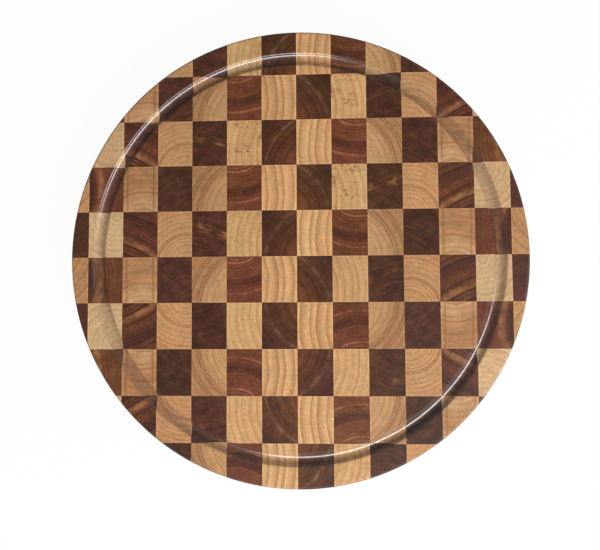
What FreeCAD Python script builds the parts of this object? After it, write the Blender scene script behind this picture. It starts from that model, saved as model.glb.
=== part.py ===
"""Round end-grain chopping block.

Staves of pale and dark hardwood are glued side by side into a panel, and the panel is crosscut into strips.
The strips are stood on end, every second one is turned end for end, and they are glued into a checker.
The glued panel is then turned round, its edges are eased, and a juice groove is cut near the rim.
The origin is at the middle of the underside. X runs along the strips, Y across them, and Z is up.
"""

import FreeCAD
import Part

import math
import os

from FreeCAD import Vector

# Board, in millimetres
board_diameter = 400.0
board_thickness = 40.0
rim_round_radius = 2.5

# Checkered panel that the board is turned from: its length and width as shares of the board's diameter,
# the staves along it, the strips across it, and the glue between them
panel_length_share = 1.0745
panel_width_share = 1.005
stave_count = 14
strip_count = 10
glue_thickness = 0.2

# Juice groove, cut by a round-nosed cutter; the rim land lies between its outer lip and the board's side
rim_land_width = 19.5
groove_cutter_radius = 6.0
groove_depth = 3.2
groove_lip_chamfer = 0.5

# Share of the board's radius within which two points count as one
same_point_share = 1e-8

# The panel's far left block is dark, and the woods take turns along and across the strips
WOODS = ("dark", "pale")
PARTS_FOLDER = "parts"
QUARTER_TURN = 90
HALF_TURN = 180
FULL_TURN = 360
UP = Vector(0, 0, 1)
MIDDLE = Vector(0, 0, 0)

board_radius = board_diameter / 2
panel_length = board_diameter * panel_length_share
panel_width = board_diameter * panel_width_share

# A block is one slice of a stave, stood on end
stave_pitch = panel_length / stave_count
strip_pitch = panel_width / strip_count
stave_width = stave_pitch - glue_thickness
strip_width = strip_pitch - glue_thickness

# The chamfer of a lip runs down to the cutter's round, or to the straight wall above it in a deep groove
cutter_height = board_thickness - groove_depth + groove_cutter_radius
lip_height = board_thickness - groove_lip_chamfer
lip_drop = max(cutter_height - lip_height, 0)
lip_tilt = math.degrees(math.asin(lip_drop / groove_cutter_radius))
wall_half_width = math.sqrt(groove_cutter_radius**2 - lip_drop**2)
groove_half_width = wall_half_width + groove_lip_chamfer
groove_mid_radius = board_radius - rim_land_width - groove_half_width
flat_radius = groove_mid_radius - groove_half_width


# The turned board

def arc_points(radius, height, round_radius, first_turn, last_turn):
    """Three points of an arc in the board's section, its ends as turns in degrees from the outward level."""
    turns = [math.radians(turn) for turn in (first_turn, (first_turn + last_turn) / 2, last_turn)]
    return [
        Vector(radius + round_radius * math.cos(turn), 0, height + round_radius * math.sin(turn))
        for turn in turns
    ]


def section_face(stops):
    """A face round corners and arcs in order, with a straight line where two of them don't meet."""
    edges = []
    last_point = stops[-1][-1]
    for stop in stops:
        if last_point.distanceToPoint(stop[0]) > board_radius * same_point_share:
            edges.append(Part.LineSegment(last_point, stop[0]).toShape())
        if len(stop) > 1:
            edges.append(Part.Arc(*stop).toShape())
        last_point = stop[-1]
    return Part.Face(Part.Wire(edges))


def turned_board():
    """The outside of the finished board, as one shape that every block and glue line is trimmed to."""
    rim_centre = board_radius - rim_round_radius
    section = section_face([
        [MIDDLE],
        [Vector(0, 0, board_thickness)],
        [Vector(groove_mid_radius - groove_half_width, 0, board_thickness)],
        [Vector(groove_mid_radius - wall_half_width, 0, lip_height)],
        arc_points(groove_mid_radius, cutter_height, groove_cutter_radius,
                   HALF_TURN + lip_tilt, FULL_TURN - lip_tilt),
        [Vector(groove_mid_radius + wall_half_width, 0, lip_height)],
        [Vector(groove_mid_radius + groove_half_width, 0, board_thickness)],
        arc_points(rim_centre, board_thickness - rim_round_radius, rim_round_radius, QUARTER_TURN, 0),
        arc_points(rim_centre, rim_round_radius, rim_round_radius, 0, -QUARTER_TURN),
    ])
    return section.revolve(MIDDLE, UP, FULL_TURN)


# Pieces before the board is turned

def upright_box(x, y, width, depth):
    """A box as tall as the board, on the underside's plane, from its near left corner."""
    return Part.makeBox(width, depth, board_thickness, Vector(x, y, 0))


def column_start(column):
    """The left side of a block, counting columns from the left."""
    return column * stave_pitch - panel_length / 2 + glue_thickness / 2


def strip_start(strip):
    """The near side of a strip, counting strips from the far side."""
    return panel_width / 2 - (strip + 1) * strip_pitch + glue_thickness / 2


def block(column, strip):
    """One slice of a stave."""
    return upright_box(column_start(column), strip_start(strip), stave_width, strip_width)


def glue_between_blocks(column, strip):
    """The glue between a block and the next one of its strip."""
    return upright_box(column_start(column) + stave_width, strip_start(strip), glue_thickness, strip_width)


def glue_between_strips(strip):
    """The glue between a strip and the next one."""
    return upright_box(-panel_length / 2, strip_start(strip) - glue_thickness, panel_length, glue_thickness)


# Trimming to the turned board

def nearest_reach(blank):
    """How far the nearest point of an upright box lies from the middle, in plan."""
    box = blank.BoundBox
    return math.hypot(max(box.XMin, -box.XMax, 0), max(box.YMin, -box.YMax, 0))


def is_whole(blank):
    """Whether an upright box lies within the groove, where the turned board is flat on both faces."""
    box = blank.BoundBox
    return math.hypot(max(-box.XMin, box.XMax), max(-box.YMin, box.YMax)) < flat_radius


def trimmed(blank, board):
    """The solids that turning leaves of a blank."""
    return blank.Solids if is_whole(blank) else blank.common(board).Solids


def columns_of(strip):
    """The columns in which the round board keeps some of this strip."""
    return [c for c in range(stave_count) if nearest_reach(block(c, strip)) < board_radius]


def block_nodes(strip, board):
    """The blocks of one strip by node, one node for each wood."""
    nodes = {}
    for column in columns_of(strip):
        wood = WOODS[(column + strip) % len(WOODS)]
        nodes.setdefault(f"strip_{strip + 1:02d}_{wood}_blocks", []).extend(trimmed(block(column, strip), board))
    return nodes


def glue_nodes(strip, board):
    """The glue of one strip by node: the lines within it, and the long line to the next strip."""
    lines = []
    for column in columns_of(strip)[:-1]:
        lines.extend(trimmed(glue_between_blocks(column, strip), board))
    nodes = {f"strip_{strip + 1:02d}_glue_lines": lines}
    if strip + 1 < strip_count:
        nodes[f"glue_line_{strip + 1:02d}_to_{strip + 2:02d}"] = trimmed(glue_between_strips(strip), board)
    return nodes


def main():
    board = turned_board()
    nodes = {}
    for strip in range(strip_count):
        nodes.update(block_nodes(strip, board))
        nodes.update(glue_nodes(strip, board))
    os.makedirs(PARTS_FOLDER, exist_ok=True)
    for name, solids in nodes.items():
        Part.makeCompound(solids).exportStep(os.path.join(PARTS_FOLDER, name + ".step"))
    block_count = sum(len(solids) for name, solids in nodes.items() if name.endswith("blocks"))
    volume = sum(solid.Volume for solids in nodes.values() for solid in solids)
    print(f"{len(nodes)} nodes, {block_count} blocks in {strip_count} strips of up to {stave_count}")
    print(f"volume of the pieces as a share of the turned board's: {volume / board.Volume:.6f}")


main()
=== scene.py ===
"""Looks of a round end-grain chopping block, laid out as a Blender add-on.

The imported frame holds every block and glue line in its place. This file gives them their wood, glue and oiled
finish, and stands the board on a plain studio floor under the camera.
"""

import math
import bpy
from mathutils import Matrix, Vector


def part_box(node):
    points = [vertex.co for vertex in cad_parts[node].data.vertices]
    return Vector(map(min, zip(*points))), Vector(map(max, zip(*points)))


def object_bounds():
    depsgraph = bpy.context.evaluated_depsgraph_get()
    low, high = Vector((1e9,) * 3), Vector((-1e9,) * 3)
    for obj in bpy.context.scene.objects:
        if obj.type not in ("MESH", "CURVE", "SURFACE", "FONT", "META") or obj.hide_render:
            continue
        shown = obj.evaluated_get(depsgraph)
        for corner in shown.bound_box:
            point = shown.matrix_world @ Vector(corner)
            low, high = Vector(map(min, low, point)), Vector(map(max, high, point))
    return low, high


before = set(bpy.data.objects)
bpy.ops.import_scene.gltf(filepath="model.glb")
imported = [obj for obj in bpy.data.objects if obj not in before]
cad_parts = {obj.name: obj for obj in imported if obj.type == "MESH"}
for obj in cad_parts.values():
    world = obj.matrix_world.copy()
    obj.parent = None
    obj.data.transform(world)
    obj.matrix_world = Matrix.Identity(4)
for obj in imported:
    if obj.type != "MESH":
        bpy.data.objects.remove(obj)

from types import SimpleNamespace

import bmesh
import bpy
from bpy.props import CollectionProperty, EnumProperty, FloatProperty, FloatVectorProperty, PointerProperty
from bpy.types import Operator, Panel, PropertyGroup
from mathutils import Euler, Vector

bl_info = {
    "name": "Round chopping block",
    "version": (1, 0, 0),
    "blender": (4, 5, 0),
    "location": "View3D > Sidebar > Chopping block",
    "description": "Gives a round end-grain chopping block its woods, glue lines and studio",
    "category": "Object",
}

MM_PER_M = 1000.0

# Sizes read from the frame. Strip 1 has seven glue lines, the first and the last six pitches apart, and the
# middle of the board lies between strips 5 and 6.
CAD_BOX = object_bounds()
BOARD_THICKNESS = CAD_BOX[1].z - CAD_BOX[0].z
MIDDLE_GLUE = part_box("glue_line_05_to_06")
NEXT_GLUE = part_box("glue_line_04_to_05")
FIRST_STRIP_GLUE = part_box("strip_01_glue_lines")
FIRST_STRIP_PITCHES = 6
GLUE_THICKNESS = MIDDLE_GLUE[1].y - MIDDLE_GLUE[0].y
STAVE_PITCH = (FIRST_STRIP_GLUE[1].x - FIRST_STRIP_GLUE[0].x - GLUE_THICKNESS) / FIRST_STRIP_PITCHES
STRIP_PITCH = NEXT_GLUE[1].y - MIDDLE_GLUE[1].y
BOARD_RADIUS = (CAD_BOX[1].x - CAD_BOX[0].x) / 2

# The panel that the strips were cut from: the strips after the sixth were also laid the other face up
STAVE_COUNT = 14
STRIP_COUNT = 10
LAST_STRIP_FACE_UP = 6
WOODS = ("pale", "dark")

# A ramp's stops hold no negative values, so a heart's place is counted from this far left of and below the
# middle of the block, in millimetres
HEART_SHIFT = 100.0

# What the colour of each wood is multiplied by where it is coolest and where it is warmest
TINTS = {
    "pale": ((0.98, 1.02, 0.98), (1.02, 0.97, 0.91)),
    "dark": ((0.97, 0.97, 0.7), (1.05, 0.87, 0.84)),
}

# Noise patterns of the woods and the glue: scale per millimetre, detail and roughness
NOISES = {
    "wander": (0.06, 3.0, 0.5),
    "gaps": (1.0, 1.0, 0.5),
    "fine lines": (0.55, 3.0, 0.6),
    "flecks": (0.32, 4.0, 0.6),
    "rays": (1.0, 2.0, 0.5),
    "specks": (0.42, 3.0, 0.6),
    "speck clusters": (0.07, 1.0, 0.5),
    "clouds": (0.11, 2.0, 0.5),
    "fibres": (0.7, 3.0, 0.6),
    "warmth": (0.08, 3.0, 0.6),
    "glue dust": (0.6, 2.0, 0.5),
}

# Where a noise pattern begins to show and where it shows fully
FADES = {
    "flecks": (0.46, 0.62),
    "specks": (0.44, 0.68),
    "speck clusters": (0.42, 0.60),
    "warmth": (0.35, 0.65),
    "bands": (0.35, 0.60),
}
NOISE_MIDDLE = 0.5

# Steps from one stave's place in the noise to the next one's
RING_SEED = (31.7, 17.3, 7.9)
PORE_SEED = (41.3, 23.1, 11.7)

# What a millimetre along the stave counts, where one across it is 1
WANDER_ALONG = 0.12  # for the wandering of the rings
GRAIN_ALONG = 0.03  # for all finer patterns

# Growth rings
GAP_PACE = 0.4  # how quickly the gaps vary from ring to ring
GAP_SPREAD = 2.4  # by how many gaps a ring can be shifted
FAINTEST_RING = 0.35  # strength of the faintest ring
RING_SPREAD = 0.7  # how much stronger the strongest ring is
RING_RESTART = (0.9, 1.0)  # part of a ring in which its line fades again

# Stripes, streaks, specks, pores and edges
FAINTEST_BAND = 0.4  # what a stripe or streak keeps where it is faintest
FIGURE_LOSS = 0.75  # what a stave's specks and patches lose far from their strip
SPECK_LEAN = (-0.006, 0.006, 0.0)  # specks grow more towards one corner, by this with each millimetre
MARK_TONE = 0.8  # colour of specks and margins, times the ring line's
PORE_FADE = (0.1, 0.28)  # edge of a pore, in gaps between pores
MARGIN_FADE = (0.3, 1.6)  # edge of a margin's line, in millimetres
JOINT_EDGE = 0.2  # how far beside a joint its effect is full, in millimetres

# How far values go from lowest to highest: lightness in steps of twice as light, warmth, roughness
RAY_SPREAD = 0.3
FIBRE_SPREAD = 1.0
BLOCK_SPREAD = 0.18
BLOCK_WARMTH_SPREAD = 0.9
ROUGHNESS_SPREAD = 0.12
GLUE_ROUGHNESS_SPREAD = 0.2

# Fine relief
RELIEF_HEIGHT = 0.00006  # height that counts as 1, in metres
FIBRE_RELIEF = 0.15
PORE_RELIEF = 0.5

# Groove, rounded edges and glue
DRY_SIDES = (0.76, 0.85, 0.90, 0.96)  # wet up to, dry from, dry up to, wet from, in half widths of the groove
# The rounded edges' mask carries both their wear, as roughness, and the painted shade on them
WEAR_AND_SHADE_FROM_SIDE = (1.0, 0.2)  # where wear begins and is full, in from the board's side, in radii of the edge
WEAR_AND_SHADE_FROM_FACE = (1.4, 0.8)  # the same, in from a face
GLUE_SHADES = (0.6, 1.5)  # darkest and palest glue, times its colour

# Studio
FLOOR_OPENING = 0.985  # in radii of the board
FLOOR_CORNERS = 96
FLOOR_ROUGHNESS = 0.9
DIM_FADE = (0.27, 0.42)  # heights at which the white surrounding turns dim, where straight up is 1
WHITE = (1.0, 1.0, 1.0, 1.0)
SENSOR_WIDTH_MM = 36.0
CLIP_START = 0.01

FLOAT = "NodeSocketFloat"
VECTOR = "NodeSocketVector"

# The staves from left to right as they lie in the even strips. Colours are linear, and lengths are in metres.
STAVES = (
    {"wood": "pale", "tone": (0.52, 0.27, 0.12), "line": (0.33, 0.14, 0.055),
     "ring_depth": 0.8, "late_share": 2.5, "heart": (-0.04, 0.042), "ring_gap": 0.005},
    {"wood": "dark", "tone": (0.14, 0.05, 0.025), "line": (0.23, 0.095, 0.052),
     "ring_depth": 0.6, "late_share": 4.0, "heart": (-0.06, 0.0), "ring_gap": 0.0042,
     "stripe": (0.33, 0.14, 0.07), "stripe_depth": 1.0, "stripe_radius": 0.0555, "stripe_width": 0.0048,
     "core": (0.06, 0.024, 0.019), "core_depth": 0.85, "core_radius": 0.0505, "core_blur": 0.002},
    {"wood": "pale", "tone": (0.46, 0.227, 0.1), "line": (0.27, 0.105, 0.042),
     "ring_depth": 0.9, "late_share": 2.5, "heart": (0.003, -0.042), "ring_gap": 0.0052,
     "cloudy": 0.9, "margin": 0.4,
     "core": (0.6, 0.34, 0.165), "core_depth": 0.8, "core_radius": 0.036, "core_blur": 0.007},
    {"wood": "dark", "tone": (0.072, 0.027, 0.0168), "line": (0.135, 0.056, 0.036),
     "ring_depth": 0.6, "heart": (0.03, -0.05), "ring_gap": 0.0055, "sway": 0.0022,
     "fine": 1.0, "cloudy": 1.0},
    {"wood": "pale", "tone": (0.43, 0.215, 0.098), "line": (0.26, 0.108, 0.042),
     "ring_depth": 0.6, "late_share": 3.0, "heart": (0.042, -0.024), "ring_gap": 0.0042,
     "stripe": (0.2, 0.082, 0.033), "stripe_depth": 0.75, "stripe_radius": 0.0512, "stripe_width": 0.0012,
     "stripe_twin": 0.0024,
     "streak": (0.2, 0.082, 0.033), "streak_depth": 0.7, "streak_radius": 0.0596, "streak_width": 0.0012,
     "streak_twin": 0.0024,
     "core": (0.57, 0.32, 0.145), "core_depth": 0.9, "core_radius": 0.047, "core_blur": 0.008},
    {"wood": "dark", "tone": (0.141, 0.0435, 0.023), "line": (0.265, 0.104, 0.055),
     "ring_depth": 0.9, "late_share": 2.5, "heart": (-0.008, 0.042), "ring_gap": 0.0029,
     "stripe": (0.34, 0.145, 0.07), "stripe_depth": 0.75, "stripe_radius": 0.0415, "stripe_width": 0.0015,
     "stripe_twin": 0.027,
     "streak": (0.05, 0.015, 0.0095), "streak_depth": 0.85, "streak_radius": 0.0462,
     "streak_width": 0.007},
    {"wood": "pale", "tone": (0.72, 0.405, 0.185), "line": (0.25, 0.09, 0.034),
     "ring_depth": 1.0, "late_share": 1.8, "heart": (-0.098, -0.003), "ring_gap": 0.0076, "sway": 0.0016,
     "evenness": 0.7},
    {"wood": "dark", "tone": (0.094, 0.0355, 0.0187), "line": (0.042, 0.015, 0.01),
     "ring_depth": 0.8, "heart": (-0.043, -0.029), "ring_gap": 0.0052,
     "cloudy": 1.0,
     "stripe": (0.21, 0.105, 0.066), "stripe_depth": 0.6, "stripe_radius": 0.0565, "stripe_width": 0.0022,
     "streak": (0.042, 0.016, 0.015), "streak_depth": 0.8, "streak_radius": 0.0725, "streak_width": 0.01,
     "core": (0.17, 0.055, 0.028), "core_depth": 0.9, "core_radius": 0.043, "core_blur": 0.009},
    {"wood": "pale", "tone": (0.64, 0.375, 0.167), "line": (0.38, 0.165, 0.068),
     "ring_depth": 0.8, "heart": (-0.06, -0.01), "ring_gap": 0.0058,
     "speckle": 1.0, "figure_strip": 3.0, "figure_reach": 1.4},
    {"wood": "dark", "tone": (0.072, 0.027, 0.0155), "line": (0.11, 0.044, 0.024),
     "ring_depth": 0.6, "heart": (0.0205, -0.064), "ring_gap": 0.0045,
     "fine": 1.0, "cloudy": 1.1, "patchy": 1.0, "figure_strip": 4.0, "figure_reach": 1.2,
     "stripe": (0.29, 0.135, 0.052), "stripe_depth": 0.9, "stripe_radius": 0.0705, "stripe_width": 0.0062},
    {"wood": "pale", "tone": (0.575, 0.3, 0.136), "line": (0.29, 0.117, 0.044),
     "ring_depth": 0.9, "late_share": 2.5, "heart": (-0.011, -0.0265), "ring_gap": 0.0042,
     "stripe": (0.25, 0.1, 0.04), "stripe_depth": 0.6, "stripe_radius": 0.0257, "stripe_width": 0.0013,
     "streak": (0.38, 0.155, 0.062), "streak_depth": 0.75, "streak_radius": 0.058, "streak_width": 0.016},
    {"wood": "dark", "tone": (0.16, 0.055, 0.03), "line": (0.026, 0.009, 0.0085),
     "ring_depth": 1.0, "late_share": 0.9, "heart": (0.04, -0.085), "ring_gap": 0.0046, "sway": 0.0018,
     "cloudy": 1.0,
     "stripe": (0.31, 0.14, 0.066), "stripe_depth": 0.85, "stripe_radius": 0.0845, "stripe_width": 0.0042,
     "streak": (0.05, 0.017, 0.019), "streak_depth": 0.7, "streak_radius": 0.104, "streak_width": 0.009},
    {"wood": "pale", "tone": (0.64, 0.41, 0.215), "line": (0.4, 0.215, 0.1),
     "ring_depth": 0.85, "heart": (-0.01, 0.016), "ring_gap": 0.0047},
    {"wood": "dark", "tone": (0.095, 0.036, 0.022), "line": (0.045, 0.017, 0.013),
     "ring_depth": 0.8, "heart": (0.03, -0.08), "ring_gap": 0.0047},
)

# Which of a stave's fields share a ramp: a colour and a number, or four numbers
COLOUR_RAMPS = (("tone", "ring_depth"), ("line", "late_share"), ("stripe", "stripe_depth"),
                ("streak", "streak_depth"), ("core", "core_depth"))
NUMBER_RAMPS = (("stripe_radius", "stripe_width", "streak_radius", "streak_width"),
                ("core_radius", "core_blur", "patchy", "speckle"),
                ("stripe_twin", "streak_twin", "fine", "margin"),
                ("figure_strip", "figure_reach", "cloudy", "evenness"))


# Settings that a user would change

def length(name, description, default):
    """A length in metres."""
    return FloatProperty(name=name, description=description, default=default, min=0.0, precision=5,
                         subtype="DISTANCE", unit="LENGTH")


def share(name, description, default, highest=1.0):
    """A plain share or strength."""
    return FloatProperty(name=name, description=description, default=default, min=0.0, max=highest,
                         subtype="FACTOR")


def colour(name, description, default):
    """A linear colour."""
    return FloatVectorProperty(name=name, description=description, default=default, min=0.0, max=1.0, size=3,
                               subtype="COLOR")


class StaveLook(PropertyGroup):
    """How the end grain of one stave looks."""

    wood: EnumProperty(name="Wood", description="Which of the two woods the stave is",
                       items=[(wood, wood.title(), "") for wood in WOODS])
    tone: colour("Tone", "Colour of the wood between its growth rings", (0.5, 0.25, 0.12))
    line: colour("Ring line", "Colour that each growth ring turns to at its outer edge", (0.35, 0.16, 0.07))
    ring_depth: share("Ring depth", "How far the rings take on the line's colour", 0.5)
    late_share: FloatProperty(name="Ring sharpness", default=2.5, min=0.5, max=12.0,
                              description="1 fades across the whole ring; more is a thin line")
    heart: FloatVectorProperty(name="Heart", description="Middle of the rings, from the middle of the block",
                               default=(0.0, -0.05), size=2, subtype="XYZ_LENGTH", unit="LENGTH")
    ring_gap: length("Ring gap", "Distance between growth rings", 0.004)
    sway: length("Sway", "How far the rings wander", 0.0011)
    stripe: colour("Stripe", "Colour of a narrow stripe along the rings", (0.3, 0.12, 0.05))
    stripe_depth: share("Stripe depth", "How strong the stripe is", 0.0)
    stripe_radius: length("Stripe radius", "Distance of the stripe from the heart", 0.05)
    stripe_width: length("Stripe width", "Half the width of the stripe", 0.001)
    streak: colour("Streak", "Colour of a broad streak along the rings", (0.1, 0.04, 0.02))
    streak_depth: share("Streak depth", "How strong the streak is", 0.0)
    streak_radius: length("Streak radius", "Distance of the streak from the heart", 0.05)
    streak_width: length("Streak width", "Half the width of the streak", 0.003)
    core: colour("Core", "Colour of the wood near the heart", (0.2, 0.07, 0.03))
    core_depth: share("Core depth", "How strong the core's colour is", 0.0)
    core_radius: length("Core radius", "Where the core ends", 0.04)
    core_blur: length("Core blur", "Half the distance over which the core fades", 0.003)
    stripe_twin: length("Stripe twin", "Distance between the two lines of a double stripe", 0.0)
    streak_twin: length("Streak twin", "Distance between the two lines of a double streak", 0.0)
    patchy: share("Patchy stripe", "How broken the stripe is", 0.0)
    speckle: share("Speckle", "How dark the stave's small specks are", 0.15)
    fine: share("Fine lines", "How strong the fine lines along the rings are", 0.7)
    cloudy: share("Clouds", "How strong the cloudy tone is", 0.6, 2.0)
    evenness: share("Evenness", "How alike the rings are in strength", 0.0)
    figure_strip: FloatProperty(name="Figure strip", default=STRIP_COUNT / 2, min=1.0, max=STRIP_COUNT,
                                description="Strip in which specks and patches are strongest")
    figure_reach: FloatProperty(name="Figure reach", default=STRIP_COUNT, min=0.0, max=STRIP_COUNT,
                                description="How many strips further they begin to fade")
    margin: share("Margin", "How dark the line near each of the stave's two glued sides is", 0.0)


class BoardSizes(PropertyGroup):
    """Sizes that the patterns follow."""

    stave_pitch: length("Stave pitch", "Width of a block and its glue along a strip", STAVE_PITCH)
    strip_pitch: length("Strip pitch", "Width of a strip and its glue", STRIP_PITCH)
    slice_pitch: length("Slice pitch", "Length of stave that each strip takes, with the saw cut", 0.044)
    groove_radius: length("Groove radius", "Middle of the juice groove, from the middle of the board", 0.175)
    groove_half_width: length("Groove half width", "From the middle of the groove to a lip", 0.0055)
    rim_round: length("Rim round", "Radius of the rounded edges of the rim", 0.0025)
    lip_width: length("Lip width", "How far the groove's soft lips reach over the face", 0.0011)
    lip_fall: length("Lip fall", "How far the soft lips fall towards the groove", 0.0006)
    ripple_depth: length("Ripple depth", "Height of the cutter's ripples", 0.00024)
    ripple_length: length("Ripple length", "Distance between the cutter's ripples along the groove", 0.0018)
    pore_gap: length("Pore gap", "Distance between the wood's pores", 0.0013)
    margin_place: length("Margin place", "Distance of a stave's dark side line from its middle", 0.0118)
    edge_width: length("Edge width", "How far the joint's effect on the wood beside it reaches", 0.0013)


class WoodFinish(PropertyGroup):
    """The oiled finish of the wood, the painted shade in the groove and at the rounded edges, and the glue."""

    pale_grain: share("Pale grain", "How strong the fine grain of the pale wood is", 1.0, 4.0)
    dark_grain: share("Dark grain", "How strong the fine grain of the dark wood is", 1.8, 4.0)
    pale_edge: share("Pale edges", "How much lighter the pale wood is beside a joint", 0.2)
    dark_edge: share("Dark edges", "How much darker the dark wood is beside a joint", 0.2)
    roughness: share("Roughness", "Roughness of the oiled faces", 0.46)
    shine: share("Shine", "Strength of the wood's own reflection", 0.3)
    coat: share("Oil", "Strength of the oil on the sanded faces", 0.03)
    groove_coat: share("Groove oil", "Strength of the oil that stays in the groove", 1.0)
    # Painted shade: darkens the wood's colour in the groove, standing in for the shade on the groove's walls
    groove_painted_shade: share("Groove painted shade", "How much painted shade darkens the wood in the groove", 0.2)
    # Painted shade: darkens the wood's colour at the rounded edges, standing in for the shade on them
    rim_painted_shade: share("Rim painted shade", "How much painted shade darkens the wood at the rounded edges", 0.4)
    rim_wear: share("Rim wear", "How much rougher than the faces the rounded edges are", 0.45)
    coat_roughness: share("Oil roughness", "Roughness of the oil", 0.22)
    coat_ior: FloatProperty(name="Oil index", description="Refractive index of the oil", default=1.7, min=1.0,
                            max=2.5)
    pore_depth: share("Pore depth", "How dark the pores are", 0.5)
    bump: share("Relief", "Strength of the fine relief", 0.35)
    glue: colour("Glue", "Colour of the dried glue", (0.17, 0.08, 0.04))
    glue_roughness: share("Glue roughness", "Roughness of the dried glue", 0.5)


class StudioLook(PropertyGroup):
    """Floor, light and camera."""

    floor_reach: length("Floor reach", "Radius of the floor", 20.0)
    floor_gap: length("Floor gap", "How far the floor lies below the board", 0.0003)
    floor: colour("Floor", "Colour of the floor", (0.9, 0.9, 0.9))
    floor_glow: share("Floor glow", "How much of the floor's colour is shown without light and shade", 0.95)
    sky: share("Sky", "Strength of the light from overhead; from all other sides it is 1", 0.15)
    key_power: FloatProperty(name="Key power", description="Power of the soft key light", default=68.0,
                             min=0.0, unit="POWER")
    key_width: length("Key width", "Width of the soft key light", 3.2)
    key_height: length("Key height", "Height of the soft key light", 0.5)
    key_colour: colour("Key colour", "Colour of the soft key light", (0.96, 0.97, 1.0))
    key_place: FloatVectorProperty(name="Key place", description="Where the key light stands",
                                   default=(0.87, -1.30, 1.31), subtype="TRANSLATION", unit="LENGTH")
    camera_place: FloatVectorProperty(name="Camera place", description="Where the camera stands",
                                      default=(0.0189, -0.0374, 0.4798), subtype="TRANSLATION", unit="LENGTH")
    camera_turn: FloatVectorProperty(name="Camera turn", description="Turn of the camera from straight down",
                                     default=[math.radians(turn) for turn in (2.70, 2.15, -0.31)],
                                     subtype="EULER", unit="ROTATION")
    lens: FloatProperty(name="Lens", description="Focal length in millimetres", default=30.47, min=1.0)


class ChoppingBlock(PropertyGroup):
    """Everything that the operators read."""

    sizes: PointerProperty(type=BoardSizes)
    finish: PointerProperty(type=WoodFinish)
    studio: PointerProperty(type=StudioLook)
    staves: CollectionProperty(type=StaveLook)


def lay_staves(staves):
    """Fills an empty list of staves with the ones of this board."""
    if staves:
        return
    for look in STAVES:
        stave = staves.add()
        for name, value in look.items():
            setattr(stave, name, value)


# Nodes

class Bench:
    """A node tree to work on. Its calls add nodes and give back what they put out."""

    ROW_LENGTH = 10
    COLUMN_STEP = 190
    ROW_STEP = 320

    # Places of a mix node's sockets for colours
    MIX_FACTOR, MIX_FIRST, MIX_SECOND, MIX_RESULT = 0, 6, 7, 2

    def __init__(self, tree):
        self.tree = tree

    def node(self, kind, *values, **settings):
        """A new node with these settings, its inputs filled in order; None leaves an input alone."""
        row, column = divmod(len(self.tree.nodes), self.ROW_LENGTH)
        node = self.tree.nodes.new(kind)
        node.location = (column * self.COLUMN_STEP, -row * self.ROW_STEP)
        for name, value in settings.items():
            setattr(node, name, value)
        for socket, value in zip(node.inputs, values):
            self.fill(socket, value)
        return node

    def fill(self, socket, value):
        """Joins a socket to another one, or sets its value."""
        if isinstance(value, bpy.types.NodeSocket):
            self.tree.links.new(value, socket)
        elif value is not None:
            socket.default_value = value

    def math(self, operation, *values):
        """The result of a sum with numbers."""
        return self.node("ShaderNodeMath", *values, operation=operation).outputs[0]

    def vector(self, operation, *values):
        """The result of a sum with vectors."""
        node = self.node("ShaderNodeVectorMath", *values, operation=operation)
        return node.outputs["Value" if operation in ("LENGTH", "DOT_PRODUCT") else "Vector"]

    def scaled(self, vector, factor):
        return self.vector("SCALE", vector, None, None, factor)

    def joined(self, x, y, z=0.0):
        return self.node("ShaderNodeCombineXYZ", x, y, z).outputs[0]

    def parted(self, vector):
        return self.node("ShaderNodeSeparateXYZ", vector).outputs

    def eased(self, value, start, end):
        """0 before start and 1 after end, with a smooth step between."""
        node = self.node("ShaderNodeMapRange", value, start, end, 0.0, 1.0, interpolation_type="SMOOTHSTEP")
        return node.outputs[0]

    def rest(self, value):
        """What is left of 1."""
        return self.math("SUBTRACT", 1.0, value)

    def spread(self, value, amount):
        """A value between 0 and 1 turned into one that goes up and down by half the amount."""
        return self.math("MULTIPLY_ADD", value, amount, -amount / 2)

    def mixed(self, factor, first, second):
        """A colour from first to second."""
        node = self.node("ShaderNodeMix", data_type="RGBA")
        self.fill(node.inputs[self.MIX_FACTOR], factor)
        self.fill(node.inputs[self.MIX_FIRST], first)
        self.fill(node.inputs[self.MIX_SECOND], second)
        return node.outputs[self.MIX_RESULT]

    def noise(self, vector, scale, detail, roughness):
        return self.node("ShaderNodeTexNoise", vector, None, scale, detail, roughness).outputs

    def white_noise(self, first, second):
        """Chance values that stay the same for the same two whole numbers."""
        return self.node("ShaderNodeTexWhiteNoise", self.joined(first, second), noise_dimensions="2D").outputs

    def by_stave(self, place, values):
        """Picks one of these four-part values by the stave's place among those of its wood, from 0 to 1."""
        node = self.node("ShaderNodeValToRGB", place)
        ramp = node.color_ramp
        ramp.interpolation = "CONSTANT"
        while len(ramp.elements) < len(values):
            ramp.elements.new(1.0)
        for index, value in enumerate(values):
            ramp.elements[index].position = index / len(values)
            ramp.elements[index].color = value
        return node.outputs

    def group(self, tree, *values):
        """Places a node group, its inputs filled in order."""
        node = self.node("ShaderNodeGroup", node_tree=tree)
        for socket, value in zip(node.inputs, values):
            self.fill(socket, value)
        return node.outputs


def start_group(name, takes, gives):
    """A new node group with named sockets, as a bench, what comes in and what goes out."""
    tree = bpy.data.node_groups.new(name, "ShaderNodeTree")
    for socket, kind in takes.items():
        tree.interface.new_socket(socket, in_out="INPUT", socket_type=kind)
    for socket, kind in gives.items():
        tree.interface.new_socket(socket, in_out="OUTPUT", socket_type=kind)
    bench = Bench(tree)
    return bench, bench.node("NodeGroupInput").outputs, bench.node("NodeGroupOutput").inputs


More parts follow.
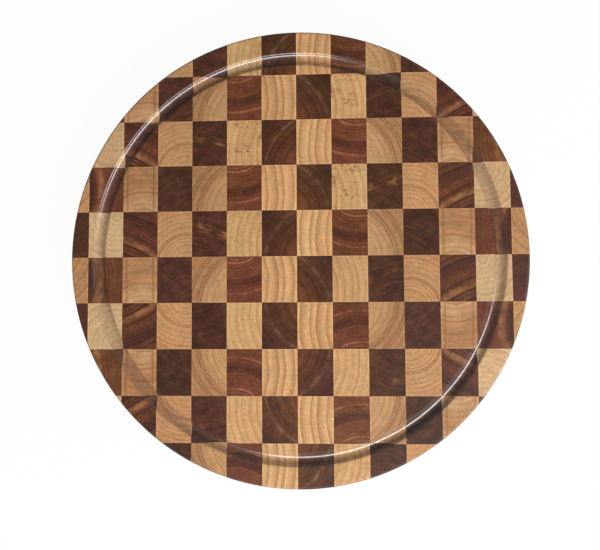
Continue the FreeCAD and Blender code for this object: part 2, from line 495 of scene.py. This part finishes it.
def stave_place_group(sizes):
    """Finds which stave and strip a point belongs to, and where it lies in the stave, in millimetres."""
    bench, takes, gives = start_group(
        "Stave place", {"Position": VECTOR},
        {"Stave": FLOAT, "Strip": FLOAT, "Section": VECTOR, "To joint": FLOAT})
    stave_pitch = sizes.stave_pitch * MM_PER_M
    strip_pitch = sizes.strip_pitch * MM_PER_M
    x, y, z = bench.parted(bench.scaled(takes["Position"], MM_PER_M))

    column = bench.math("FLOOR", bench.math("DIVIDE", x, stave_pitch))
    row = bench.math("FLOOR", bench.math("DIVIDE", y, -strip_pitch))
    strip = bench.math("ADD", row, STRIP_COUNT / 2 + 1)

    # Every second strip is turned end for end, and the last ones lie the other face up. A hand is 1, or -1 if
    # the strip is turned that way.
    turned = bench.math("MODULO", strip, 2.0)
    flipped = bench.math("GREATER_THAN", strip, LAST_STRIP_FACE_UP + 0.5)
    hand_x = bench.math("MULTIPLY_ADD", turned, -2.0, 1.0)
    hand_y = bench.math("MULTIPLY_ADD", flipped, -2.0, 1.0)

    from_left = bench.math("ADD", column, STAVE_COUNT / 2)
    swapped = bench.math("MULTIPLY_ADD", from_left, -2.0, STAVE_COUNT - 1.0)
    stave = bench.math("MULTIPLY_ADD", turned, swapped, from_left)

    block_x = bench.math("MULTIPLY_ADD", column, stave_pitch, stave_pitch / 2)
    block_y = bench.math("MULTIPLY_ADD", row, -strip_pitch, -strip_pitch / 2)
    across = bench.math("MULTIPLY", bench.math("SUBTRACT", x, block_x), hand_x)
    up = bench.math("MULTIPLY", bench.math("SUBTRACT", y, block_y), hand_y)
    depth = bench.math("SUBTRACT", z, BOARD_THICKNESS * MM_PER_M)
    hand_z = bench.math("MULTIPLY", hand_x, hand_y)
    start = bench.math("MULTIPLY", strip, sizes.slice_pitch * MM_PER_M)
    along = bench.math("MULTIPLY_ADD", depth, hand_z, start)

    bench.fill(gives["Stave"], stave)
    bench.fill(gives["Strip"], strip)
    bench.fill(gives["Section"], bench.joined(across, up, along))
    to_side = bench.math("SUBTRACT", stave_pitch / 2, bench.math("ABSOLUTE", across))
    to_end = bench.math("SUBTRACT", strip_pitch / 2, bench.math("ABSOLUTE", up))
    bench.fill(gives["To joint"], bench.math("MINIMUM", to_side, to_end))
    return bench.tree


def growth_rings_group():
    """Growth rings round a heart, with uneven gaps, fine lines and flecks along them and rays across them."""
    bench, takes, gives = start_group(
        "Growth rings",
        {"Section": VECTOR, "Stave": FLOAT, "Heart": VECTOR, "Gap": FLOAT, "Sway": FLOAT},
        {"Radius": FLOAT, "Ring": FLOAT, "Strength": FLOAT, "Fine lines": FLOAT, "Fleck": FLOAT,
         "Rays": FLOAT})
    seed = bench.scaled(RING_SEED, takes["Stave"])
    slow = bench.vector("MULTIPLY", takes["Section"], (1.0, 1.0, WANDER_ALONG))
    wander = bench.noise(bench.vector("ADD", slow, seed), *NOISES["wander"])["Color"]
    both_ways = bench.vector("MULTIPLY_ADD", wander, (2.0, 2.0, 0.0), (-1.0, -1.0, 0.0))
    flat = bench.vector("MULTIPLY", takes["Section"], (1.0, 1.0, 0.0))
    from_heart = bench.vector("SUBTRACT", flat, takes["Heart"])
    out = bench.vector("ADD", from_heart, bench.scaled(both_ways, takes["Sway"]))
    radius = bench.vector("LENGTH", out)

    rings = bench.math("DIVIDE", radius, takes["Gap"])
    pace = bench.joined(bench.math("MULTIPLY", rings, GAP_PACE), takes["Stave"])
    rings = bench.math("MULTIPLY_ADD", bench.noise(pace, *NOISES["gaps"])["Fac"], GAP_SPREAD, rings)
    strength = bench.white_noise(bench.math("FLOOR", rings), takes["Stave"])["Value"]

    direction = bench.vector("NORMALIZE", out)
    along = bench.math("MULTIPLY", bench.parted(takes["Section"])[2], GRAIN_ALONG)

    def along_rings(around, outwards):
        """A place in the noise: on a circle this large, and up by this with each millimetre outwards."""
        turned = bench.scaled(direction, around)
        lifted = bench.joined(along, 0.0, bench.math("MULTIPLY", radius, outwards))
        return bench.vector("ADD", bench.vector("ADD", turned, lifted), seed)

    bench.fill(gives["Radius"], radius)
    bench.fill(gives["Ring"], bench.math("FRACT", rings))
    bench.fill(gives["Strength"], strength)
    line_place = along_rings(around=5.0, outwards=1.0)
    fleck_place = along_rings(around=24.0, outwards=1.0)
    ray_place = along_rings(around=45.0, outwards=0.1)
    flecks = bench.noise(fleck_place, *NOISES["flecks"])["Fac"]
    bench.fill(gives["Fine lines"], bench.noise(line_place, *NOISES["fine lines"])["Fac"])
    bench.fill(gives["Fleck"], bench.eased(flecks, *FADES["flecks"]))
    bench.fill(gives["Rays"], bench.noise(ray_place, *NOISES["rays"])["Fac"])
    return bench.tree


def pores_group(sizes):
    """Pores, specks, fibres, and cloudy tone and warmth of the wood."""
    bench, takes, gives = start_group(
        "Pores", {"Section": VECTOR, "Stave": FLOAT},
        {"Pore": FLOAT, "Speck": FLOAT, "Cloud": FLOAT, "Fibre": FLOAT, "Warmth": FLOAT})
    seed = bench.scaled(PORE_SEED, takes["Stave"])
    drawn_out = bench.vector("MULTIPLY", takes["Section"], (1.0, 1.0, GRAIN_ALONG))
    place = bench.vector("ADD", drawn_out, seed)

    def pattern(name):
        return bench.noise(place, *NOISES[name])["Fac"]

    gap = sizes.pore_gap * MM_PER_M
    pore = bench.node("ShaderNodeTexVoronoi", place, None, 1 / gap).outputs["Distance"]
    speck = bench.eased(pattern("specks"), *FADES["specks"])
    lean = bench.vector("DOT_PRODUCT", takes["Section"], SPECK_LEAN)
    cluster = bench.eased(bench.math("ADD", pattern("speck clusters"), lean), *FADES["speck clusters"])
    bench.fill(gives["Pore"], bench.rest(bench.eased(pore, *PORE_FADE)))
    bench.fill(gives["Speck"], bench.math("MULTIPLY", speck, cluster))
    bench.fill(gives["Cloud"], pattern("clouds"))
    bench.fill(gives["Fibre"], pattern("fibres"))
    bench.fill(gives["Warmth"], bench.eased(pattern("warmth"), *FADES["warmth"]))
    return bench.tree


def turned_edges_group(sizes):
    """Masks of the juice groove, its oil and the board's two rounded edges, and the relief of the groove."""
    bench, takes, gives = start_group(
        "Turned edges", {"Position": VECTOR}, {"Groove": FLOAT, "Oil": FLOAT, "Relief": FLOAT, "Rim": FLOAT})
    place = bench.scaled(takes["Position"], MM_PER_M)
    flat = bench.vector("MULTIPLY", place, (1.0, 1.0, 0.0))
    radius = bench.vector("LENGTH", flat)
    height = bench.parted(place)[2]
    half_height = BOARD_THICKNESS * MM_PER_M / 2

    # The groove, with soft lips that reach over the face
    middle = sizes.groove_radius * MM_PER_M
    half_width = sizes.groove_half_width * MM_PER_M
    off = bench.math("ABSOLUTE", bench.math("SUBTRACT", radius, middle))
    within = bench.rest(bench.eased(off, half_width, half_width + sizes.lip_width * MM_PER_M))
    groove = bench.math("MULTIPLY", within, bench.math("GREATER_THAN", height, half_height))
    bench.fill(gives["Groove"], groove)

    wet_end, dry_start, dry_end, wet_start = (part * half_width for part in DRY_SIDES)
    steep = bench.math("SUBTRACT", bench.eased(off, wet_end, dry_start), bench.eased(off, dry_end, wet_start))
    bench.fill(gives["Oil"], bench.math("MULTIPLY", groove, bench.rest(steep)))

    # The cutter's ripples run across the groove, so they change only along it
    along_groove = bench.scaled(bench.vector("NORMALIZE", flat), middle)
    ripple = bench.noise(along_groove, 1 / (sizes.ripple_length * MM_PER_M), detail=1.0, roughness=0.5)["Fac"]
    relief = bench.math("MULTIPLY_ADD", ripple, sizes.ripple_depth * MM_PER_M, -sizes.lip_fall * MM_PER_M)
    bench.fill(gives["Relief"], bench.math("MULTIPLY", groove, relief))

    # The rounded edges, where the wood is worn rougher and painted shade darkens its colour
    edge = sizes.rim_round * MM_PER_M
    outward = bench.eased(radius, *(BOARD_RADIUS * MM_PER_M - edge * part for part in WEAR_AND_SHADE_FROM_SIDE))
    from_middle = bench.math("ABSOLUTE", bench.math("SUBTRACT", height, half_height))
    edgeward = bench.eased(from_middle, *(half_height - edge * part for part in WEAR_AND_SHADE_FROM_FACE))
    bench.fill(gives["Rim"], bench.math("MULTIPLY", outward, edgeward))
    return bench.tree


def pattern_groups(sizes):
    """The node groups of the woods, built once."""
    builders = {
        "Stave place": lambda: stave_place_group(sizes),
        "Growth rings": growth_rings_group,
        "Pores": lambda: pores_group(sizes),
        "Turned edges": lambda: turned_edges_group(sizes),
    }
    return {name: bpy.data.node_groups.get(name) or build() for name, build in builders.items()}


def start_material(name):
    """A new material with its Principled shader, as the material, a bench and the shader's inputs."""
    material = bpy.data.materials.new(name)
    material.use_nodes = True
    bench = Bench(material.node_tree)
    return material, bench, material.node_tree.nodes["Principled BSDF"].inputs


def numbers_of(stave, field):
    """A field's value as a list of numbers, lengths in millimetres."""
    value = getattr(stave, field)
    numbers = list(value) if hasattr(value, "__len__") else [value]
    is_length = stave.bl_rna.properties[field].unit == "LENGTH"
    return [number * MM_PER_M for number in numbers] if is_length else numbers


def look_at_hand(bench, pick, staves):
    """What each field of these staves is at the stave at hand, by the field's name."""
    def rows(*fields):
        return [[number for field in fields for number in numbers_of(stave, field)] for stave in staves]

    look = {}
    for shade, number in COLOUR_RAMPS:
        look[shade], look[number] = bench.by_stave(pick, rows(shade, number))
    for fields in NUMBER_RAMPS:
        first_three, look[fields[-1]] = bench.by_stave(pick, rows(*fields))
        look.update(zip(fields, bench.parted(first_three)))

    hearts = [[x + HEART_SHIFT, y + HEART_SHIFT, *others]
              for x, y, *others in rows("heart", "ring_gap", "sway")]
    first_three, look["sway"] = bench.by_stave(pick, hearts)
    x, y, look["ring_gap"] = bench.parted(first_three)
    look["heart"] = bench.vector("ADD", bench.joined(x, y), (-HEART_SHIFT, -HEART_SHIFT, 0.0))
    return SimpleNamespace(**look)


def ring_mask(bench, look, rings, cloud):
    """How far the wood takes on the ring line's colour. Rings darken to their outer edge and start again."""
    late = bench.math("POWER", rings["Ring"], look.late_share)
    strength = bench.math("MULTIPLY_ADD", rings["Strength"], RING_SPREAD, FAINTEST_RING)
    for factor in (bench.rest(bench.eased(rings["Ring"], *RING_RESTART)),
                   bench.math("MAXIMUM", strength, look.evenness),
                   bench.math("ADD", cloud, NOISE_MIDDLE),
                   look.ring_depth):
        late = bench.math("MULTIPLY", late, factor)
    return late


def band_mask(bench, radius, cloud, band_radius, width, depth, twin):
    """How strongly a single or double band at this radius colours the wood."""
    off = bench.math("ABSOLUTE", bench.math("SUBTRACT", radius, band_radius))
    off = bench.math("ABSOLUTE", bench.math("MULTIPLY_ADD", twin, -0.5, off))
    near = bench.rest(bench.eased(bench.math("DIVIDE", off, width), 0.0, 1.0))
    clear = bench.eased(cloud, *FADES["bands"])
    uneven = bench.math("MULTIPLY_ADD", clear, 1 - FAINTEST_BAND, FAINTEST_BAND)
    return bench.math("MULTIPLY", bench.math("MULTIPLY", near, depth), uneven)


def end_grain_colour(bench, look, place, rings, pores, margin_place):
    """Colour of the wood with its core, rings, streak, stripe, specks and margins."""
    radius = rings["Radius"]
    cloud = pores["Cloud"]
    core_place = bench.math("DIVIDE", bench.math("SUBTRACT", look.core_radius, radius), look.core_blur)
    core = bench.math("MULTIPLY", bench.eased(core_place, -1.0, 1.0), look.core_depth)
    streak = band_mask(
        bench, radius, cloud, look.streak_radius, look.streak_width, look.streak_depth, look.streak_twin)
    stripe = band_mask(
        bench, radius, cloud, look.stripe_radius, look.stripe_width, look.stripe_depth, look.stripe_twin)

    # Patches of the stripe and specks fade in strips far from the stave's own
    strips_away = bench.math("ABSOLUTE", bench.math("SUBTRACT", place["Strip"], look.figure_strip))
    past = bench.math("SUBTRACT", strips_away, look.figure_reach)
    figure = bench.math("MULTIPLY_ADD", bench.eased(past, 0.0, 1.0), -FIGURE_LOSS, 1.0)
    patches = bench.math("MULTIPLY", rings["Fleck"], figure)
    patches = bench.math("MULTIPLY_ADD", patches, look.patchy, bench.rest(look.patchy))
    stripe = bench.math("MULTIPLY", stripe, patches)
    specks = bench.math("MULTIPLY", bench.math("MULTIPLY", pores["Speck"], look.speckle), figure)

    from_middle = bench.math("ABSOLUTE", bench.parted(place["Section"])[0])
    from_line = bench.math("ABSOLUTE", bench.math("SUBTRACT", from_middle, margin_place))
    margin = bench.math("MULTIPLY", bench.rest(bench.eased(from_line, *MARGIN_FADE)), look.margin)
    marks = bench.math("MAXIMUM", specks, margin)

    wood_colour = look.tone
    for mask, shade in ((core, look.core),
                        (ring_mask(bench, look, rings, cloud), look.line),
                        (streak, look.streak),
                        (stripe, look.stripe),
                        (marks, bench.scaled(look.line, MARK_TONE))):
        wood_colour = bench.mixed(mask, wood_colour, shade)
    return wood_colour


def wood_material(name, wood, settings):
    """The end grain of all staves of one wood."""
    material, bench, shader = start_material(name)
    groups = pattern_groups(settings.sizes)
    finish = settings.finish
    staves = [stave for stave in settings.staves if stave.wood == wood]

    position = bench.node("ShaderNodeTexCoord").outputs["Object"]
    place = bench.group(groups["Stave place"], position)
    stave, section = place["Stave"], place["Section"]
    of_wood = bench.math("FLOOR", bench.math("MULTIPLY", stave, 1 / len(WOODS)))
    pick = bench.math("MULTIPLY_ADD", of_wood, 1 / len(staves), 0.5 / len(staves))
    look = look_at_hand(bench, pick, staves)
    rings = bench.group(groups["Growth rings"], section, stave, look.heart, look.ring_gap, look.sway)
    pores = bench.group(groups["Pores"], section, stave)
    edges = bench.group(groups["Turned edges"], position)
    pore, cloud, fibre = pores["Pore"], pores["Cloud"], pores["Fibre"]
    groove, rim = edges["Groove"], edges["Rim"]

    block_tone, block_warmth = bench.parted(bench.white_noise(stave, place["Strip"])["Color"])[:2]
    wood_colour = end_grain_colour(bench, look, place, rings, pores, settings.sizes.margin_place * MM_PER_M)
    cool, warm = [bench.vector("MULTIPLY", wood_colour, tint) for tint in TINTS[wood]]
    warmth = bench.math("ADD", pores["Warmth"], bench.spread(block_warmth, BLOCK_WARMTH_SPREAD))
    wood_colour = bench.mixed(warmth, cool, warm)

    # Fine lines, rays, clouds, fibres and each block's own lightness, in steps of twice as light
    if wood == "pale":
        grain, edge = finish.pale_grain, finish.pale_edge
    else:
        grain, edge = finish.dark_grain, -finish.dark_edge
    steps = bench.math("MULTIPLY", bench.math("SUBTRACT", rings["Fine lines"], NOISE_MIDDLE), look.fine)
    steps = bench.math("MULTIPLY_ADD", bench.math("SUBTRACT", cloud, NOISE_MIDDLE), look.cloudy, steps)
    for pattern, amount in ((rings["Rays"], RAY_SPREAD), (fibre, FIBRE_SPREAD), (block_tone, BLOCK_SPREAD)):
        steps = bench.math("ADD", steps, bench.spread(pattern, amount))
    light = bench.math("POWER", 2.0, bench.math("MULTIPLY", steps, grain))
    # Beside joints the wood turns lighter or darker, pores darken it, and painted shade darkens it in the
    # groove and at the rounded edges
    at_joint = bench.rest(bench.eased(place["To joint"], JOINT_EDGE, settings.sizes.edge_width * MM_PER_M))
    for mask, change in ((at_joint, edge), (pore, -finish.pore_depth), (groove, -finish.groove_painted_shade),
                         (rim, -finish.rim_painted_shade)):
        light = bench.math("MULTIPLY", light, bench.math("MULTIPLY_ADD", mask, change, 1.0))

    rough = bench.math("ADD", bench.spread(cloud, ROUGHNESS_SPREAD), finish.roughness)
    rough = bench.math("MULTIPLY_ADD", rim, finish.rim_wear, rough)
    oil = bench.math("MULTIPLY_ADD", edges["Oil"], finish.groove_coat - finish.coat, finish.coat)
    relief = bench.math("MULTIPLY_ADD", pore, -PORE_RELIEF, bench.math("MULTIPLY", fibre, FIBRE_RELIEF))
    relief = bench.math("MULTIPLY_ADD", edges["Relief"], 1 / (RELIEF_HEIGHT * MM_PER_M), relief)
    bump = bench.node("ShaderNodeBump", finish.bump, RELIEF_HEIGHT, None, relief)

    bench.fill(shader["Base Color"], bench.scaled(wood_colour, light))
    bench.fill(shader["Roughness"], rough)
    bench.fill(shader["Normal"], bump.outputs["Normal"])
    bench.fill(shader["Specular IOR Level"], finish.shine)
    bench.fill(shader["Coat Weight"], oil)
    bench.fill(shader["Coat Roughness"], finish.coat_roughness)
    bench.fill(shader["Coat IOR"], finish.coat_ior)
    return material


def glue_material(settings):
    """Dried wood glue with a little wood dust in it."""
    material, bench, shader = start_material("Dried glue")
    place = bench.scaled(bench.node("ShaderNodeTexCoord").outputs["Object"], MM_PER_M)
    dust = bench.noise(place, *NOISES["glue dust"])["Fac"]
    dark, pale = [(*(shade * part for part in settings.finish.glue), 1.0) for shade in GLUE_SHADES]
    bench.fill(shader["Base Color"], bench.mixed(dust, dark, pale))
    rough = bench.math("ADD", bench.spread(dust, GLUE_ROUGHNESS_SPREAD), settings.finish.glue_roughness)
    bench.fill(shader["Roughness"], rough)
    return material


def nodes_with(*words):
    """The frame's objects whose names hold one of these words."""
    found = [node for name, node in sorted(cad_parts.items()) if any(word in name for word in words)]
    if not found:
        raise RuntimeError(f"the frame has no node named with {words}")
    return found


def dress(nodes, material):
    """Puts one material on these objects."""
    for node in nodes:
        for slot in node.material_slots:
            slot.material = material


# Stage

def seen_directly(bench):
    """1 for what the camera sees, in a reflection or through glass too, and 0 for light on other things."""
    rays = bench.node("ShaderNodeLightPath").outputs
    seen = bench.math("ADD", rays["Is Camera Ray"], rays["Is Glossy Ray"])
    return bench.math("MINIMUM", bench.math("ADD", seen, rays["Is Transmission Ray"]), 1.0)


def floor_material(studio):
    """A plain pale floor that keeps the board's shadow and lets the view from below through."""
    material, bench, shader = start_material("Studio floor")
    bench.fill(shader["Base Color"], (*studio.floor, 1.0))
    bench.fill(shader["Roughness"], FLOOR_ROUGHNESS)
    bench.fill(shader["Specular IOR Level"], 0.0)
    principled = material.node_tree.nodes["Principled BSDF"].outputs[0]
    glow = bench.node("ShaderNodeEmission", WHITE, 1.0).outputs[0]
    glowing = bench.math("MULTIPLY", seen_directly(bench), studio.floor_glow)
    shown = bench.node("ShaderNodeMixShader", glowing, principled, glow)
    clear = bench.node("ShaderNodeBsdfTransparent").outputs[0]
    behind = bench.node("ShaderNodeNewGeometry").outputs["Backfacing"]
    both = bench.node("ShaderNodeMixShader", behind, shown.outputs[0], clear)
    bench.fill(material.node_tree.nodes["Material Output"].inputs["Surface"], both.outputs[0])
    return material


def make_floor(studio):
    """A round floor, open under the board so that its underside can be seen."""
    mesh = bpy.data.meshes.new("studio_floor")
    shape = bmesh.new()
    for reach in (BOARD_RADIUS * FLOOR_OPENING, studio.floor_reach):
        bmesh.ops.create_circle(shape, segments=FLOOR_CORNERS, radius=reach)
    bmesh.ops.bridge_loops(shape, edges=shape.edges[:])
    bmesh.ops.recalc_face_normals(shape, faces=shape.faces)
    if any(face.normal.z < 0 for face in shape.faces):
        bmesh.ops.reverse_faces(shape, faces=shape.faces)
    bmesh.ops.translate(shape, verts=shape.verts, vec=(0.0, 0.0, CAD_BOX[0].z - studio.floor_gap))
    shape.to_mesh(mesh)
    shape.free()
    mesh.materials.append(floor_material(studio))
    floor = bpy.data.objects.new("studio_floor", mesh)
    bpy.context.scene.collection.objects.link(floor)


def make_light(studio):
    """A surrounding that is white but for a dim patch overhead, and a wide soft light low on one side."""
    scene = bpy.context.scene
    world = bpy.data.worlds.new("Studio light")
    scene.world = world
    world.use_nodes = True
    bench = Bench(world.node_tree)
    background = world.node_tree.nodes["Background"].inputs
    bench.fill(background["Color"], WHITE)
    height = bench.parted(bench.node("ShaderNodeTexCoord").outputs["Generated"])[2]
    overhead = bench.eased(height, *DIM_FADE)
    bench.fill(background["Strength"], bench.math("MULTIPLY_ADD", overhead, studio.sky - 1.0, 1.0))
    light = bpy.data.lights.new("key_light", "AREA")
    light.shape = "RECTANGLE"
    light.size = studio.key_width
    light.size_y = studio.key_height
    light.energy = studio.key_power
    light.color = studio.key_colour
    key = bpy.data.objects.new("key_light", light)
    key.location = studio.key_place
    aim = Vector((0.0, 0.0, BOARD_THICKNESS)) - key.location
    key.rotation_euler = aim.to_track_quat("-Z", "Y").to_euler()
    scene.collection.objects.link(key)


def make_camera(studio):
    """The camera over the board."""
    lens = bpy.data.cameras.new("camera")
    lens.sensor_fit = "HORIZONTAL"
    lens.sensor_width = SENSOR_WIDTH_MM
    lens.lens = studio.lens
    lens.clip_start = CLIP_START
    camera = bpy.data.objects.new("camera", lens)
    camera.location = studio.camera_place
    camera.rotation_euler = Euler(studio.camera_turn)
    bpy.context.scene.collection.objects.link(camera)
    bpy.context.scene.camera = camera


# Operators and panel

class CHOPPING_OT_pale_blocks(Operator):
    """Give the blocks of pale wood their end grain and finish"""

    bl_idname = "chopping.pale_blocks"
    bl_label = "Pale blocks"

    def execute(self, context):
        settings = context.scene.chopping_block
        lay_staves(settings.staves)
        dress(nodes_with("_pale_blocks"), wood_material("Pale wood", "pale", settings))
        return {"FINISHED"}


class CHOPPING_OT_dark_blocks(Operator):
    """Give the blocks of dark wood their end grain and finish"""

    bl_idname = "chopping.dark_blocks"
    bl_label = "Dark blocks"

    def execute(self, context):
        settings = context.scene.chopping_block
        lay_staves(settings.staves)
        dress(nodes_with("_dark_blocks"), wood_material("Dark wood", "dark", settings))
        return {"FINISHED"}


class CHOPPING_OT_glue_lines(Operator):
    """Give the glue lines between blocks and between strips their colour"""

    bl_idname = "chopping.glue_lines"
    bl_label = "Glue lines"

    def execute(self, context):
        dress(nodes_with("glue_line"), glue_material(context.scene.chopping_block))
        return {"FINISHED"}


class CHOPPING_OT_stage(Operator):
    """Set up the floor, the light and the camera"""

    bl_idname = "chopping.stage"
    bl_label = "Studio"

    def execute(self, context):
        studio = context.scene.chopping_block.studio
        make_floor(studio)
        make_light(studio)
        make_camera(studio)
        context.scene.view_settings.view_transform = "Standard"
        return {"FINISHED"}


class CHOPPING_PT_board(Panel):
    """Lists the steps that dress the board"""

    bl_idname = "CHOPPING_PT_board"
    bl_label = "Chopping block"
    bl_space_type = "VIEW_3D"
    bl_region_type = "UI"
    bl_category = "Chopping block"

    def draw(self, context):
        for step in STEPS:
            self.layout.operator(step.bl_idname)
        settings = context.scene.chopping_block
        for part in (settings.sizes, settings.finish, settings.studio, *settings.staves):
            box = self.layout.box()
            for name in part.bl_rna.properties.keys():
                if name not in ("rna_type", "name"):
                    box.prop(part, name)


STEPS = (CHOPPING_OT_pale_blocks, CHOPPING_OT_dark_blocks, CHOPPING_OT_glue_lines, CHOPPING_OT_stage)
CLASSES = (StaveLook, BoardSizes, WoodFinish, StudioLook, ChoppingBlock, *STEPS, CHOPPING_PT_board)


def register():
    for one in CLASSES:
        bpy.utils.register_class(one)
    bpy.types.Scene.chopping_block = PointerProperty(type=ChoppingBlock)


def unregister():
    del bpy.types.Scene.chopping_block
    for one in reversed(CLASSES):
        bpy.utils.unregister_class(one)


def main():
    register()
    bpy.ops.chopping.pale_blocks()
    bpy.ops.chopping.dark_blocks()
    bpy.ops.chopping.glue_lines()
    bpy.ops.chopping.stage()


if __name__ == "__main__":
    main()
